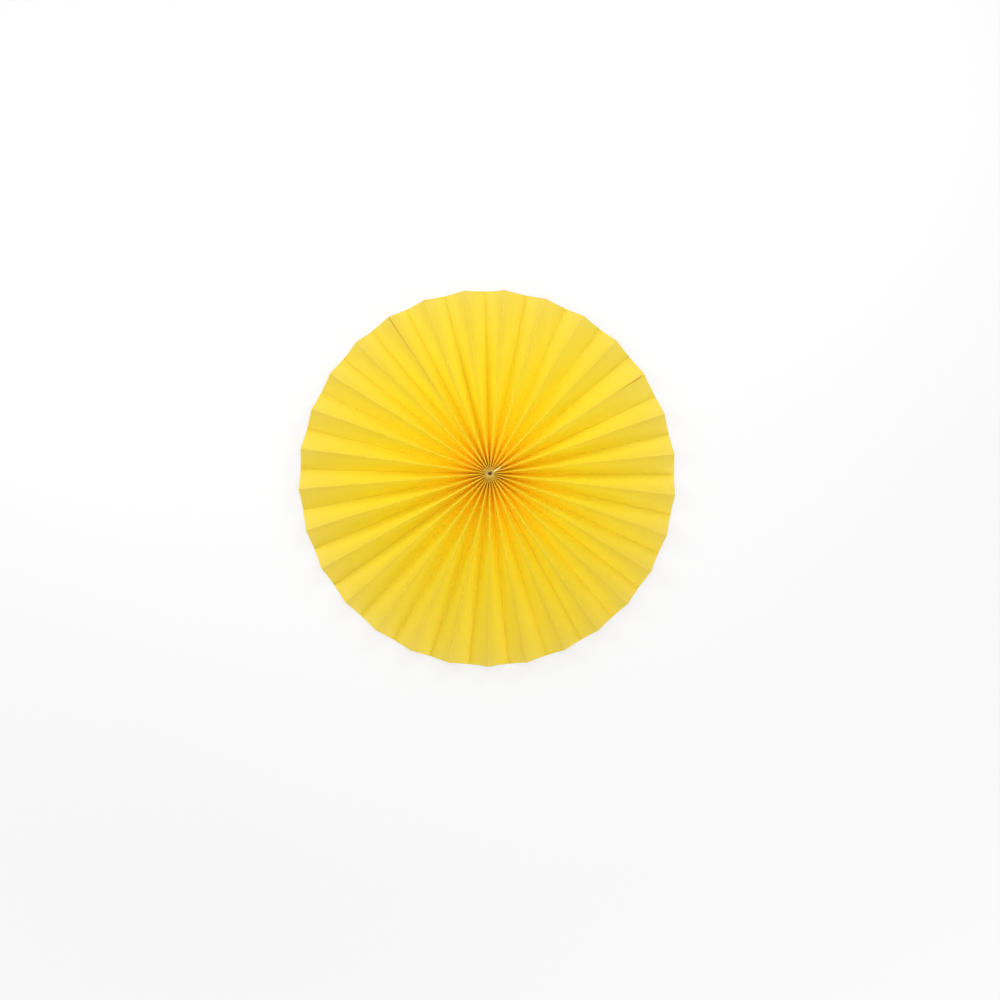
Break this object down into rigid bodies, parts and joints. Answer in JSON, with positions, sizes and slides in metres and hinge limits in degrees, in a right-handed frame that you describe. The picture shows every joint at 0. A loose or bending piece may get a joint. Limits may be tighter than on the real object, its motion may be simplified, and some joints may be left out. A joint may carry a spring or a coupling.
{
  "type": "paper fan rosette",
  "caption": "Round accordion-folded paper fan rosette, pleats meeting at a small centre hole, sheets glued and taped into a full circle.",
  "frame": {"origin": "on the hub's axis, at the back of the hub, level with the valley folds that the rosette rests on", "axes": "+Z is the way the front faces, up as it lies; +Y is the top of the pictured view and +X its right"},
  "size_m": [0.3497, 0.35, 0.0256],
  "materials": {
    "yellow_paper": "smooth matt coloured paper, about 120 grams per square metre",
    "clear_tape": "thin milky double-sided tape",
    "cotton_thread": "pale waxed cotton thread"
  },
  "bodies": {
    "root": {"folded_sheet_1": "yellow_paper", "folded_sheet_2": "yellow_paper", "folded_sheet_3": "yellow_paper", "folded_sheet_4": "yellow_paper", "closing_tape": "clear_tape", "binding_thread": "cotton_thread"}
  },
  "joints": []
}
